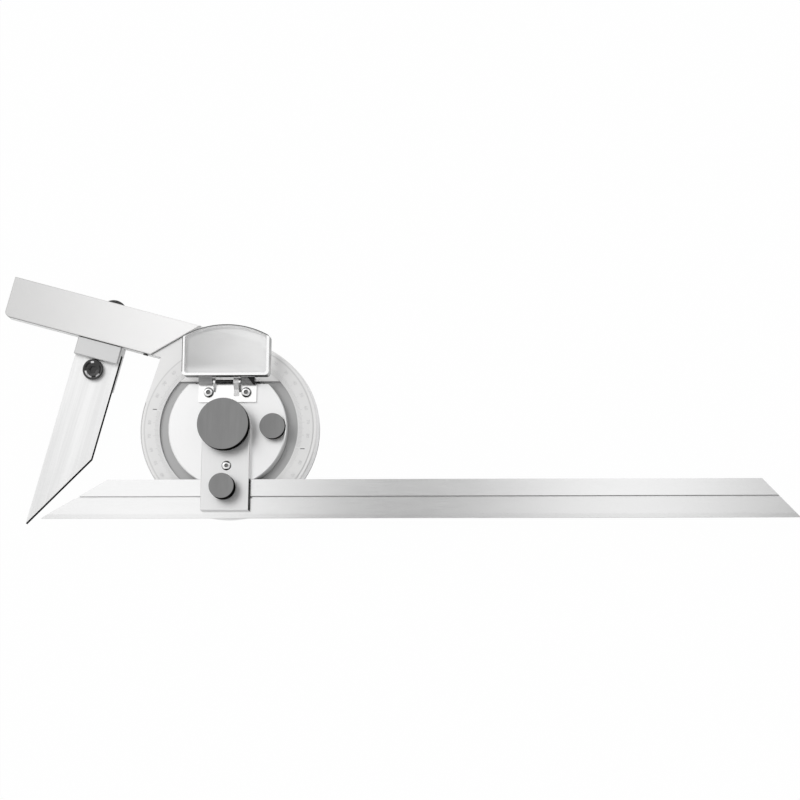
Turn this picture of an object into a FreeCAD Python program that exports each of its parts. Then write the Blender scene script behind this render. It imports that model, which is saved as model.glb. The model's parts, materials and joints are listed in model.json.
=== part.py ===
import FreeCAD, Part
import math
import os

os.makedirs("parts", exist_ok=True)

# Millimetres. The origin is on the dial's axis at the rear boss, +X runs along the blade
# towards its long end and +Z points out of the dial.

# stock and dial body
stock_angle = 15.0          # turn of the stock against the blade, as stored
stock_reach = 99.5          # dial axis to the stock's far end
working_edge = 36.5         # dial axis to the stock's working edge
stock_width = 16.0
stock_thickness = 8.0
edge_overrun = 2.0          # how far the working edge passes the dial axis
face_cut_start = 38.2       # dial axis to the foot of the front face's slanting end
face_cut_angle = 45.0
flank_start = 34.2          # dial axis to the corner where the flank leaves the inner edge
corner_round = 2.0
body_radius = 35.2
rim_chamfer = 0.5
boss_radius = 22.0
boss_height = 3.5
edge_break = 0.3

# graduated ring, recess and gear pocket
dial_radius = 33.6
dial_drop = 1.0             # dial face below the stock's face
rim_drop = 0.2              # rim below the dial face
recess_radius = 27.5
recess_depth = 1.5
gear_height = 3.0
pinion_room = 1.0           # pocket floor below the gear ring's seat
gear_seat_width = 3.4

# fine adjustment gears
gear_module = 0.6
ring_teeth = 74
pinion_teeth = 12
pressure_angle = 20.0
addendum = 0.9              # of the module
dedendum = 1.2
backlash = 0.08

# turret
turret_radius = 23.5
turret_rise = 3.4           # turret face above the dial face
turret_break = 0.4
top_chord = 17.3            # dial axis to the flat at the turret's top
hub_radius = 12.0
washer_thickness = 0.5
washer_inner = 5.0
washer_outer = 11.0
vernier_thickness = 1.15
vernier_edge = 18.9         # dial axis to the vernier plate's straight edge
vernier_leg_width = 4.0     # each of the two legs that carry the plate under the turret
vernier_leg_x = 8.2
vernier_overlap = 6.3       # how far the legs lie under the turret
vernier_gap = 0.1           # between the vernier plate and the graduated ring

# stud, bush and big knob
stud_radius = 3.0
stud_collar_radius = 4.5
stud_skin = 1.0             # body left behind the stud's blind hole
bush_wall = 1.5
knob_washer_radius = 8.0
knob_washer_thickness = 0.5
dial_knob_radius = 10.2
dial_knob_head = 4.6
dial_knob_hub_radius = 6.0
dial_knob_hub_height = 2.6
knob_break = 0.35
stud_grip = 4.0             # stud inside the knob

# blade
blade_length = 300.0
blade_width = 15.2
blade_reach = 35.7          # dial axis to the blade's working edge
blade_thickness = 2.0
blade_back_length = 73.5    # dial axis to the blade's short end, along the working edge
short_end_angle = 30.0
long_end_angle = 45.0
bevel_width = 1.5
bevel_depth = 0.9
groove_from_top = 7.1
groove_mouth = 1.0
groove_floor = 1.7
groove_depth = 1.3

# arm and blade clamp
arm_width = 19.0
arm_thickness = 3.0
arm_overhang = 8.5          # blade knob's axis to the arm's end
tongue_thickness = 1.0
arm_screw_reach = 15.5
arm_screw_x = 0.6
arm_screw_head_radius = 1.9
arm_screw_head_height = 0.8
arm_screw_radius = 0.9
dowel_radius = 1.0
dowel_spacing = 11.0
dowel_reach = 16.5
hook_offset = 3.1           # blade's groove to the blade knob's axis
hook_radius = 1.5
hook_plate_width = 4.0
hook_plate_thickness = 1.2
hook_plate_back = 2.0       # hook plate behind the bolt's axis
hook_fit = 0.08             # hook in the blade's groove, each side
hook_travel = 0.25
clamp_washer_radius = 3.6
clamp_washer_thickness = 0.5
blade_knob_radius = 5.0
blade_knob_head = 5.2
blade_knob_hub_radius = 3.3
blade_knob_hub_height = 1.9
bolt_grip = 4.6             # bolt inside the blade knob

# fine adjustment knob
pinion_shaft_radius = 1.5
pinion_bush_wall = 1.1
pinion_flange_radius = 3.6
pinion_flange_height = 0.8
fine_knob_radius = 5.05
fine_knob_height = 3.6
fine_shaft_grip = 2.6       # shaft inside the knob

# magnifier and its hinge
lens_frame_half = 17.3
lens_frame_low = 19.6
lens_frame_top = 39.8
lens_arch_radius = 35.2
lens_frame_height = 5.4
lens_frame_lift = 5.8       # frame above the dial face
lens_frame_wall = 1.0       # foot and sides
lens_frame_lip = 0.4        # arched top
lens_frame_round = 1.6
lens_ledge = 0.7
lens_ledge_height = 0.8
lens_edge_height = 2.9
lens_crown_radius = 85.0
hinge_y = 18.0
hinge_lift = 5.4            # hinge pin above the dial face
hinge_pin_radius = 0.7
barrel_radius = 1.4
barrel_outer = 11.15
barrel_inner = 5.75
web_thickness = 1.2
cheek_thickness = 0.8
bracket_width = 23.0
bracket_low = 10.0
bracket_high = 16.7
bracket_thickness = 1.0
bracket_screw_x = 7.5
bracket_screw_y = 13.8
bracket_screw_head = 2.0
bracket_screw_head_height = 1.1
bracket_screw_radius = 0.9
bracket_screw_length = 2.6
spring_thickness = 0.25
spring_width = 2.0
spring_x = 3.6
spring_foot_y = 12.4
spring_gap = 0.5            # between the spring and the pin it curls over
spring_touch = 130.0        # bearing about the pin where the leaf meets its curl
spring_tip = -25.0          # bearing of the curl's end

# screws of the dial side
gear_screw_count = 3
gear_screw_radius = 0.7
gear_screw_head = 1.3
gear_screw_head_height = 0.8
gear_screw_length = 4.2
vernier_screw_y = 12.8
vernier_screw_radius = 0.7
vernier_screw_head = 1.3
vernier_screw_head_height = 0.6
vernier_screw_length = 2.2
set_screw_radius = 1.0
set_screw_length = 4.0
set_screw_stand = 0.6
set_screw_reach = 40.8
slot_width = 0.5
slot_depth = 0.4

# acute-angle attachment
attachment_centre = 59.4    # dial axis to the attachment's middle, along the stock
attachment_width = 18.0
holder_depth = 7.1          # block below the stock's inner edge
holder_drop = 1.0           # block's face below the stock's face
rear_plate_thickness = 1.6
rear_plate_overhang = 0.5   # working edge to the rear plate's end
leg_face_drop = 4.5         # leg's face below the stock's face
leg_thickness = 3.0
leg_reach = 92.8            # working edge to the leg's tip
leg_tip_angle = 30.0
leg_tab = 10.5              # holder's tab behind the leg, past the block
leg_insert = 4.0            # leg inside the block
leg_screw_drop = 4.3        # block to the leg screw's axis
leg_screw_head = 4.15
leg_screw_head_height = 2.4
leg_screw_radius = 1.5
socket_radius = 1.5
socket_sides = 6
socket_depth = 1.2
clamp_screw_inset = 3.5     # working edge to the clamp screw's axis
clamp_screw_head = 5.8
clamp_screw_head_height = 1.75
clamp_screw_radius = 1.25
slot_mouth = 2.9
slot_mouth_depth = 1.2
slot_room_width = 4.4
slot_room_depth = 1.6
slot_end = 36.0             # dial axis to the slot's closed end
nut_length = 8.0

# fits
press = 0.02                # pieces fixed in each other
running = 0.05              # shafts in their bores
slide = 0.05                # flat sliding faces
free = 0.3                  # faces that pass each other

# levels above the boss's face
back_level = boss_height
stock_face = back_level + stock_thickness
dial_face = stock_face - dial_drop
rim_face = dial_face - rim_drop
recess_floor = dial_face - recess_depth
gear_seat = recess_floor - gear_height
pocket_floor = gear_seat - pinion_room
turret_under = recess_floor + free
turret_face = dial_face + turret_rise
hub_under = pocket_floor + washer_thickness
tongue_under = dial_face + free
tongue_top = tongue_under + tongue_thickness
blade_under = tongue_top + slide
blade_face = blade_under + blade_thickness
arm_under = max(turret_face, blade_face + slide)
arm_face = arm_under + arm_thickness
knob_seat = arm_face + knob_washer_thickness
knob_head_under = knob_seat + dial_knob_hub_height
knob_face = knob_head_under + dial_knob_head
clamp_seat = arm_face + clamp_washer_thickness
blade_knob_under = clamp_seat + blade_knob_hub_height
blade_knob_face = blade_knob_under + blade_knob_head
frame_under = dial_face + lens_frame_lift
frame_face = frame_under + lens_frame_height
hinge_z = dial_face + hinge_lift
bracket_face = turret_face + bracket_thickness
holder_face = stock_face - holder_drop
holder_under = back_level - slide - rear_plate_thickness
leg_face = stock_face - leg_face_drop
leg_under = leg_face - leg_thickness
fixing_depth = (turret_face - turret_under) / 2     # of the screws and dowels in the turret
dowel_top = arm_under + arm_thickness - fixing_depth / 2

# places in the plane
inner_edge = working_edge - stock_width
blade_edge = -blade_reach
blade_top = blade_edge + blade_width
groove_y = blade_top - groove_from_top
clamp_reach = -groove_y - hook_offset
arm_reach = clamp_reach + arm_overhang
ring_pitch = gear_module * ring_teeth / 2
pinion_pitch = gear_module * pinion_teeth / 2
pinion_x = ring_pitch - pinion_pitch
gear_outer = recess_radius - press
gear_screw_ring = (ring_pitch + dedendum * gear_module + gear_outer) / 2
clamp_screw_y = working_edge - clamp_screw_inset
leg_screw_y = inner_edge - holder_depth - leg_screw_drop

Z = FreeCAD.Vector(0, 0, 1)
origin = FreeCAD.Vector(0, 0, 0)


def point(x, y, z=0.0):
    return FreeCAD.Vector(x, y, z)


def polar(radius, degrees, z=0.0):
    angle = math.radians(degrees)
    return point(radius * math.cos(angle), radius * math.sin(angle), z)


def cylinder(radius, low, high, x=0.0, y=0.0):
    return Part.makeCylinder(radius, high - low, point(x, y, low), Z)


def tube(inner, outer, low, high, x=0.0, y=0.0):
    return cylinder(outer, low, high, x, y).cut(cylinder(inner, low, high, x, y))


def block(x0, x1, y0, y1, z0, z1):
    return Part.makeBox(x1 - x0, y1 - y0, z1 - z0, point(x0, y0, z0))


def prism(corners, low, high):
    """Upright prism over the given outline."""
    places = [point(x, y, low) for x, y in corners]
    face = Part.Face(Part.makePolygon(places + places[:1]))
    return face.extrude(point(0, 0, high - low))


def turned(profile, x=0.0, y=0.0):
    """Solid of revolution about an upright axis from (radius, height) corners."""
    places = [point(radius, 0, height) for radius, height in profile]
    face = Part.Face(Part.makePolygon(places + places[:1]))
    solid = face.revolve(origin, Z, 360)
    solid.translate(point(x, y))
    return solid


def chamfered_disc(radius, low, high, size, x=0.0, y=0.0):
    """Disc with both rims broken by a chamfer."""
    profile = [(0, low), (radius - size, low), (radius, low + size),
               (radius, high - size), (radius - size, high), (0, high)]
    return turned(profile, x, y)


def countersunk(radius, head_radius, head_height, length, x, y, face, way):
    """Flat-headed screw whose head is flush with a face and whose shank runs the given way."""
    tip = face + way * length
    neck = face + way * head_height
    return turned([(0, face), (head_radius, face), (radius, neck), (radius, tip), (0, tip)], x, y)


def slotted(screw, x, y, face, way, reach):
    """Screwdriver slot in a head's face; way points into the head."""
    low, high = sorted((face, face + way * slot_depth))
    return screw.cut(block(x - reach, x + reach, y - slot_width / 2, y + slot_width / 2, low, high))


def edges_on(shape, height):
    """Edges that lie wholly at one height."""
    tolerance = 1e-6
    return [e for e in shape.Edges
            if abs(e.BoundBox.ZMin - height) < tolerance and abs(e.BoundBox.ZMax - height) < tolerance]


def broken(shape, height, size):
    """The shape with its edges at one height chamfered."""
    return shape.makeChamfer(size, edges_on(shape, height))


def on_stock(shape):
    """Turns a piece from the stock's own frame, which has +X along the stock, to its place."""
    return shape.rotated(origin, Z, -stock_angle)


def involute(angle):
    return math.tan(angle) - angle


def curved(first, middle, last):
    return [Part.Arc(first, middle, last).toShape()]


def straight(*places):
    return [Part.makeLine(a, b) for a, b in zip(places, places[1:])]


def gear_face(teeth, inner, outer, half_angle, low, flank):
    """Face inside a toothed outline; half_angle is half of a tooth's angle at the pitch circle,
    and flank joins three places of the involute."""
    pressure = math.radians(pressure_angle)
    base = gear_module * teeth / 2 * math.cos(pressure)
    start = max(inner, base)
    middle = (start + outer) / 2
    step = 2 * math.pi / teeth

    def half(radius):
        return half_angle + involute(pressure) - involute(math.acos(min(1.0, base / radius)))

    def place(radius, angle):
        return point(radius * math.cos(angle), radius * math.sin(angle), low)

    edges = []
    for tooth in range(teeth):
        centre = tooth * step
        up = [place(radius, centre - half(radius)) for radius in (start, middle, outer)]
        down = [place(radius, centre + half(radius)) for radius in (outer, middle, start)]
        foot = place(inner, centre + half(start))
        next_foot = place(inner, centre + step - half(start))
        if inner < start:
            edges += straight(place(inner, centre - half(start)), up[0])
        edges += flank(*up) + straight(up[-1], down[0]) + flank(*down)
        if inner < start:
            edges += straight(down[-1], foot)
        edges += straight(foot, next_foot)
    return Part.Face(Part.Wire(edges))


def tangent_foot(x, y, radius):
    """Where the tangent from an outside place touches a circle about the origin, on its left."""
    distance = math.hypot(x, y)
    bearing = math.atan2(y, x) + math.acos(radius / distance)
    return radius * math.cos(bearing), radius * math.sin(bearing)


def flank_outline():
    """Web between the stock and the dial body."""
    corner = (-flank_start, inner_edge)
    return [corner, tangent_foot(*corner, body_radius), (0, 0), (edge_overrun, inner_edge)]


def stock_bar():
    """Straight bar of the stock, with its raised front face cut off at a slant."""
    face_end = face_cut_start - stock_width / math.tan(math.radians(face_cut_angle))
    low = block(-stock_reach, edge_overrun, inner_edge, working_edge, back_level, rim_face)
    outline = [(-stock_reach, inner_edge), (-face_cut_start, inner_edge),
               (-face_end, working_edge), (-stock_reach, working_edge)]
    face = prism(outline, back_level, stock_face)
    corner = [e for e in face.Edges
              if math.hypot(e.BoundBox.XMax + stock_reach, e.BoundBox.YMax - inner_edge) < edge_break
              and e.BoundBox.ZLength > edge_break]
    face = broken(face.makeFillet(corner_round, corner), stock_face, edge_break)
    room = block(-stock_reach, -stock_reach + corner_round, inner_edge, inner_edge + corner_round,
                 back_level, rim_face)
    return low.cut(room).fuse(face)


def clamp_slot():
    """T-slot in the stock's back, open at the far end."""
    def run(width, low, high):
        return block(-stock_reach - free, -slot_end, clamp_screw_y - width / 2,
                     clamp_screw_y + width / 2, low, high)

    mouth = run(slot_mouth, back_level, back_level + slot_mouth_depth)
    room_low = back_level + slot_mouth_depth
    return mouth.fuse(run(slot_room_width, room_low, room_low + slot_room_depth))


def base_body():
    chamfer_start = body_radius - rim_chamfer
    disc = turned([(0, back_level), (body_radius, back_level), (body_radius, rim_face - rim_chamfer),
                   (chamfer_start, rim_face), (0, rim_face)])
    boss = cylinder(boss_radius, 0, back_level)
    body = disc.fuse([boss, stock_bar(), prism(flank_outline(), back_level, rim_face)])
    seat = recess_radius - gear_seat_width
    cuts = [cylinder(dial_radius, recess_floor, stock_face),
            cylinder(recess_radius, gear_seat, stock_face),
            cylinder(seat, pocket_floor, stock_face),
            cylinder(stud_radius + press, stud_skin, pocket_floor),
            clamp_slot(), set_screw_solid(press)]
    cuts += [screw for screw in gear_screw_solids(press)]
    return on_stock(body.cut(cuts).removeSplitter())


def set_screw_solid(gap):
    """Set screw in the stock's inner edge, grown by a gap where it is cut from the body."""
    start = point(-set_screw_reach, inner_edge - set_screw_stand, rim_face - 2 * set_screw_radius)
    return Part.makeCylinder(set_screw_radius + gap, set_screw_length, start, point(0, 1, 0))


def stock_set_screw():
    screw = set_screw_solid(0.0)
    y = inner_edge - set_screw_stand
    middle = rim_face - 2 * set_screw_radius
    slot = block(-set_screw_reach - set_screw_radius, -set_screw_reach + set_screw_radius,
                 y, y + slot_depth, middle - slot_width / 2, middle + slot_width / 2)
    return on_stock(screw.cut(slot))


def scale_ring():
    return tube(recess_radius, dial_radius - press, recess_floor, dial_face)


def gear_screw_places():
    step = 360.0 / gear_screw_count
    return [polar(gear_screw_ring, step * (n + 0.5)) for n in range(gear_screw_count)]


def gear_screw_solids(gap):
    return [countersunk(gear_screw_radius + gap, gear_screw_head + gap, gear_screw_head_height,
                        gear_screw_length + gap, p.x, p.y, back_level, 1)
            for p in gear_screw_places()]


def gear_screws():
    screws = [slotted(screw, p.x, p.y, back_level, 1, gear_screw_head)
              for screw, p in zip(gear_screw_solids(0.0), gear_screw_places())]
    return on_stock(Part.makeCompound(screws))


def ring_gear():
    tooth_space = math.pi / (2 * ring_teeth) + backlash / (4 * ring_pitch)
    opening = gear_face(ring_teeth, ring_pitch - addendum * gear_module,
                        ring_pitch + dedendum * gear_module, tooth_space, gear_seat, straight)
    ring = cylinder(gear_outer, gear_seat, recess_floor)
    ring = ring.cut(opening.extrude(point(0, 0, gear_height)))
    return ring.cut([on_stock(screw) for screw in gear_screw_solids(press)])


def pinion_shaft():
    tooth = math.pi / (2 * pinion_teeth) - backlash / (4 * pinion_pitch)
    low = pocket_floor + free
    high = recess_floor - press
    pinion = gear_face(pinion_teeth, pinion_pitch - dedendum * gear_module,
                       pinion_pitch + addendum * gear_module, tooth, low, curved)
    pinion = pinion.extrude(point(0, 0, high - low))
    knob_low = turret_face + pinion_flange_height + slide
    shaft = cylinder(pinion_shaft_radius, low, knob_low + fine_shaft_grip)
    shaft = pinion.fuse(shaft)
    shaft.translate(point(pinion_x, 0))
    return shaft.removeSplitter()


def centre_stud():
    """Stud screwed into the body up to its collar."""
    top = knob_seat + stud_grip
    collar_top = hub_under - slide
    return turned([(0, stud_skin + press), (stud_radius, stud_skin + press),
                   (stud_radius, pocket_floor), (stud_collar_radius, pocket_floor),
                   (stud_collar_radius, collar_top), (stud_radius, collar_top),
                   (stud_radius, top - edge_break), (stud_radius - edge_break, top), (0, top)])


def centre_bush():
    inner = stud_radius + running
    return tube(inner, inner + bush_wall, hub_under, turret_face)


def turret_washer():
    return tube(washer_inner, washer_outer, pocket_floor, hub_under)


def vernier_low():
    return top_chord - vernier_overlap


def vernier_legs(gap):
    """The vernier plate's legs, grown by a gap where the turret is cut for them."""
    half = vernier_leg_width / 2 + gap
    return [block(side * vernier_leg_x - half, side * vernier_leg_x + half, vernier_low() - gap,
                  vernier_edge, turret_under, turret_under + vernier_thickness)
            for side in (-1, 1)]


def vernier_plate():
    """Segment above the turret's flat, carried by two legs."""
    low = turret_under
    high = low + vernier_thickness
    outer = recess_radius - vernier_gap
    segment = cylinder(outer, low, high)
    segment = segment.cut(block(-outer, outer, -outer, vernier_edge, low, high))
    return segment.fuse(vernier_legs(0.0)).removeSplitter().cut(vernier_screw_solids(press))


def vernier_screw_places():
    return [(side * vernier_leg_x, vernier_screw_y) for side in (-1, 1)]


def vernier_screw_solids(gap):
    return [countersunk(vernier_screw_radius + gap, vernier_screw_head + gap,
                        vernier_screw_head_height, vernier_screw_length + gap,
                        x, y, turret_under, 1)
            for x, y in vernier_screw_places()]


def vernier_screws():
    return Part.makeCompound([slotted(screw, x, y, turret_under, 1, vernier_screw_head)
                              for screw, (x, y) in zip(vernier_screw_solids(0.0),
                                                       vernier_screw_places())])


def bracket_screw_places():
    return [(side * bracket_screw_x, bracket_screw_y) for side in (-1, 1)]


def dowel_places():
    return [(side * dowel_spacing / 2, -dowel_reach) for side in (-1, 1)]


def bush_outer():
    return stud_radius + running + bush_wall


def pinion_bush_outer():
    return pinion_shaft_radius + running + pinion_bush_wall


def turret_disc():
    """Inner disc with its hub, and the tongue that the blade slides on."""
    disc = turned([(0, hub_under), (hub_radius, hub_under), (hub_radius, turret_under),
                   (turret_radius, turret_under), (turret_radius, turret_face - turret_break),
                   (turret_radius - turret_break, turret_face), (0, turret_face)])
    reach = turret_radius + free
    guide = blade_top + slide
    cuts = [block(-reach, reach, top_chord, reach, turret_under, turret_face),
            block(-reach, reach, -reach, guide, tongue_top, turret_face),
            cylinder(bush_outer() + press, hub_under, turret_face),
            cylinder(pinion_bush_outer() + press, turret_under, turret_face, pinion_x)]
    cuts += vernier_legs(slide)
    tongue = block(-arm_width / 2, arm_width / 2, -arm_reach, guide, tongue_under, tongue_top)
    disc = disc.cut(cuts).fuse(tongue)
    holes = [cylinder(bracket_screw_radius + press, bracket_face - bracket_screw_length - press,
                      turret_face, x, y) for x, y in bracket_screw_places()]
    holes += [cylinder(dowel_radius + press, turret_face - fixing_depth, turret_face, x, y)
              for x, y in dowel_places()]
    holes.append(cylinder(arm_screw_radius + press, turret_face - fixing_depth - press,
                          turret_face, arm_screw_x, -arm_screw_reach))
    return disc.cut(holes + vernier_screw_solids(press)).removeSplitter()


def hook_pocket_top():
    return arm_under + slide + hook_travel + hook_plate_thickness


def swivel_arm():
    """Plate over the blade, round at the dial axis."""
    half = arm_width / 2
    outline = [Part.makeLine(point(half, 0, arm_under), point(half, -arm_reach, arm_under)),
               Part.makeLine(point(half, -arm_reach, arm_under), point(-half, -arm_reach, arm_under)),
               Part.makeLine(point(-half, -arm_reach, arm_under), point(-half, 0, arm_under)),
               Part.Arc(point(-half, 0, arm_under), point(0, half, arm_under),
                        point(half, 0, arm_under)).toShape()]
    arm = Part.Face(Part.Wire(outline)).extrude(point(0, 0, arm_thickness))
    arm = broken(arm, arm_face, edge_break)
    pocket_half = hook_plate_width / 2 + slide
    head_floor = arm_face - arm_screw_head_height
    cuts = [cylinder(stud_radius + free, arm_under, arm_face),
            cylinder(hook_radius + running, arm_under, arm_face, 0, -clamp_reach),
            block(-pocket_half, pocket_half, groove_y - groove_floor / 2 - slide,
                  -clamp_reach + hook_plate_back + slide, arm_under, hook_pocket_top()),
            cylinder(arm_screw_radius + press, arm_under, arm_face, arm_screw_x, -arm_screw_reach),
            cylinder(arm_screw_head_radius + press, head_floor, arm_face, arm_screw_x,
                     -arm_screw_reach)]
    cuts += [cylinder(dowel_radius + press, arm_under, dowel_top, x, y) for x, y in dowel_places()]
    return arm.cut(cuts)


def arm_screw():
    """Cheese-head screw, its domed head standing a little out of the arm."""
    head_floor = arm_face - arm_screw_head_height
    head_top = arm_face + arm_screw_head_height / 2
    tip = turret_face - fixing_depth
    screw = turned([(0, tip), (arm_screw_radius, tip), (arm_screw_radius, head_floor),
                    (arm_screw_head_radius, head_floor), (arm_screw_head_radius, arm_face),
                    (arm_screw_head_radius - edge_break, head_top), (0, head_top)],
                   arm_screw_x, -arm_screw_reach)
    return slotted(screw, arm_screw_x, -arm_screw_reach, head_top, -1, arm_screw_head_radius)


def arm_dowels():
    return Part.makeCompound([cylinder(dowel_radius, turret_face - fixing_depth, dowel_top, x, y)
                              for x, y in dowel_places()])


def knob_washer():
    return tube(stud_radius + free, knob_washer_radius, arm_face, knob_seat)


def clamp_washer():
    return tube(hook_radius + free, clamp_washer_radius, arm_face, clamp_seat, 0, -clamp_reach)


def knob(head_radius, hub_radius, seat, head_under, face, bore, bore_top, x, y):
    """Turned knob with a narrower hub and a blind bore."""
    body = turned([(0, seat), (hub_radius, seat), (hub_radius, head_under),
                   (head_radius, head_under),
                   (head_radius, face - knob_break), (head_radius - knob_break, face), (0, face)],
                  x, y)
    return body.cut(cylinder(bore, seat, bore_top, x, y))


def dial_clamp_knob():
    return knob(dial_knob_radius, dial_knob_hub_radius, knob_seat, knob_head_under, knob_face,
                stud_radius + running, knob_seat + stud_grip + free, 0, 0)


def blade_clamp_knob():
    return knob(blade_knob_radius, blade_knob_hub_radius, clamp_seat, blade_knob_under,
                blade_knob_face, hook_radius + running, clamp_seat + bolt_grip + free,
                0, -clamp_reach)


def fine_knob():
    low = turret_face + pinion_flange_height + slide
    body = chamfered_disc(fine_knob_radius, low, low + fine_knob_height, knob_break, pinion_x)
    return body.cut(cylinder(pinion_shaft_radius + press, low, low + fine_shaft_grip + press,
                             pinion_x))


def pinion_bush():
    inner = pinion_shaft_radius + running
    sleeve = tube(inner, pinion_bush_outer(), turret_under, turret_face, pinion_x)
    flange = tube(inner, pinion_flange_radius, turret_face, turret_face + pinion_flange_height,
                  pinion_x)
    return sleeve.fuse(flange).removeSplitter()


def blade():
    """Blade with a bevelled working edge, slanting ends and a dovetail groove."""
    mouth = groove_mouth / 2
    floor = groove_floor / 2
    bottom = blade_face - groove_depth
    section = [(blade_top, blade_under), (blade_edge, blade_under),
               (blade_edge, blade_face - bevel_depth), (blade_edge + bevel_width, blade_face),
               (groove_y - mouth, blade_face), (groove_y - floor, bottom),
               (groove_y + floor, bottom), (groove_y + mouth, blade_face), (blade_top, blade_face)]
    places = [point(-blade_back_length, y, z) for y, z in section]
    bar = Part.Face(Part.makePolygon(places + places[:1])).extrude(point(blade_length, 0, 0))
    short_cut = blade_width / math.tan(math.radians(short_end_angle))
    long_cut = blade_width / math.tan(math.radians(long_end_angle))
    far = blade_length - blade_back_length
    outline = [(-blade_back_length, blade_edge), (far, blade_edge), (far - long_cut, blade_top),
               (-blade_back_length + short_cut, blade_top)]
    return bar.common(prism(outline, blade_under, blade_face))


def groove_half(height):
    """Half of the groove's width at a height."""
    return (groove_mouth + (groove_floor - groove_mouth) * (blade_face - height) / groove_depth) / 2


def blade_hook_bolt():
    """Bolt whose side plate ends in a foot inside the blade's groove."""
    plate_top = hook_pocket_top() - slide
    plate_low = plate_top - hook_plate_thickness
    shank = cylinder(hook_radius, plate_low, clamp_seat + bolt_grip, 0, -clamp_reach)
    half = hook_plate_width / 2
    neck = groove_mouth / 2 - hook_fit
    plate = block(-half, half, groove_y - neck, -clamp_reach + hook_plate_back, plate_low, plate_top)
    foot_low = blade_face - groove_depth + hook_travel + slide
    foot = groove_half(foot_low) - hook_fit
    section = [(groove_y + neck, plate_low), (groove_y - neck, plate_low),
               (groove_y - neck, blade_face), (groove_y - foot, foot_low),
               (groove_y + foot, foot_low), (groove_y + neck, blade_face)]
    places = [point(-half, y, z) for y, z in section]
    hook = Part.Face(Part.makePolygon(places + places[:1])).extrude(point(hook_plate_width, 0, 0))
    return shank.fuse([plate, hook]).removeSplitter()


def lens_outline(side, lip, low):
    """Face of the magnifier's outline, straight foot and sides under an arched top, inset by
    one amount at the foot and sides and by another at the top."""
    half = lens_frame_half - side
    foot = lens_frame_low + side
    radius = lens_arch_radius - lip
    middle = lens_frame_top - lens_arch_radius
    shoulder = middle + math.sqrt(radius ** 2 - half ** 2)
    edges = [Part.makeLine(point(-half, foot, low), point(half, foot, low)),
             Part.makeLine(point(half, foot, low), point(half, shoulder, low)),
             Part.Arc(point(half, shoulder, low), point(0, middle + radius, low),
                      point(-half, shoulder, low)).toShape(),
             Part.makeLine(point(-half, shoulder, low), point(-half, foot, low))]
    return Part.Face(Part.Wire(edges))


def lens_prism(side, lip, low, high, rounding):
    """Upright solid of that outline with rounded corners."""
    solid = lens_outline(side, lip, low).extrude(point(0, 0, high - low))
    upright = [e for e in solid.Edges if e.BoundBox.ZLength > (high - low) / 2]
    return solid.makeFillet(rounding, upright)


def hinge_cylinder(radius, x0, x1):
    return Part.makeCylinder(radius, x1 - x0, point(x0, hinge_y, hinge_z), point(1, 0, 0))


def magnifier_frame():
    """Thin frame with a ledge under the lens and two hinge barrels at its foot."""
    shell = lens_prism(0, 0, frame_under, frame_face, lens_frame_round)
    room = lens_prism(lens_frame_wall, lens_frame_lip, frame_under + lens_ledge_height, frame_face,
                      lens_frame_round - lens_frame_wall / 2)
    sight = lens_prism(lens_frame_wall + lens_ledge, lens_frame_lip + lens_ledge, frame_under,
                       frame_face, lens_frame_round / 2)
    frame = shell.cut([room, sight])
    for x0, x1 in ((-barrel_outer, -barrel_inner), (barrel_inner, barrel_outer)):
        web = block(x0, x1, hinge_y, lens_frame_low + edge_break, frame_under + edge_break,
                    frame_under + edge_break + web_thickness)
        barrel = hinge_cylinder(barrel_radius, x0, x1)
        frame = frame.fuse([web, barrel])
    bore = hinge_cylinder(hinge_pin_radius + running, -barrel_outer, barrel_outer)
    return frame.cut(bore).removeSplitter()


def magnifier_lens():
    """Plano-convex lens that drops into the frame."""
    low = frame_under + lens_ledge_height
    side = lens_frame_wall + press
    lens = lens_prism(side, lens_frame_lip + press, low, frame_face + lens_edge_height,
                      lens_frame_round - side / 2)
    half = lens_frame_half - side
    corner = math.hypot(half, (lens_frame_top - lens_frame_low) / 2 - side)
    edge = low + lens_edge_height
    drop = math.sqrt(lens_crown_radius ** 2 - corner ** 2)
    middle = point(0, (lens_frame_top + lens_frame_low) / 2, edge - drop)
    return lens.common(Part.makeSphere(lens_crown_radius, middle, point(0, 1, 0)))


def cheek(x0, x1):
    """Bracket cheek: a tab from the plate's end round the hinge pin."""
    tab = block(x0, x1, bracket_high - 2 * barrel_radius, bracket_high, turret_face, bracket_face)
    places = [point(x0, bracket_high - 2 * barrel_radius, bracket_face),
              point(x0, bracket_high, turret_face + free), point(x0, hinge_y, hinge_z - barrel_radius),
              point(x0, hinge_y, hinge_z + barrel_radius)]
    rise = Part.Face(Part.makePolygon(places + places[:1])).extrude(point(x1 - x0, 0, 0))
    return tab.fuse([rise, hinge_cylinder(barrel_radius, x0, x1)])


def magnifier_bracket():
    plate = block(-bracket_width / 2, bracket_width / 2, bracket_low, bracket_high,
                  turret_face, bracket_face)
    inner = barrel_inner - free
    cheeks = [cheek(-inner, -inner + cheek_thickness), cheek(inner - cheek_thickness, inner)]
    cuts = [cylinder(bracket_screw_radius + press, turret_face, bracket_face, x, y)
            for x, y in bracket_screw_places()]
    cuts.append(hinge_cylinder(hinge_pin_radius + press, -inner, inner))
    return plate.fuse(cheeks).cut(cuts).removeSplitter()


def bracket_screws():
    screws = []
    for x, y in bracket_screw_places():
        top = bracket_face + bracket_screw_head_height
        tip = bracket_face - bracket_screw_length
        screw = turned([(0, tip), (bracket_screw_radius, tip), (bracket_screw_radius, bracket_face),
                        (bracket_screw_head, bracket_face), (bracket_screw_head, top - edge_break),
                        (bracket_screw_head - edge_break, top), (0, top)], x, y)
        screws.append(slotted(screw, x, y, top, -1, bracket_screw_head))
    return Part.makeCompound(screws)


def hinge_pin():
    return hinge_cylinder(hinge_pin_radius, -barrel_outer, barrel_outer)


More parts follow.
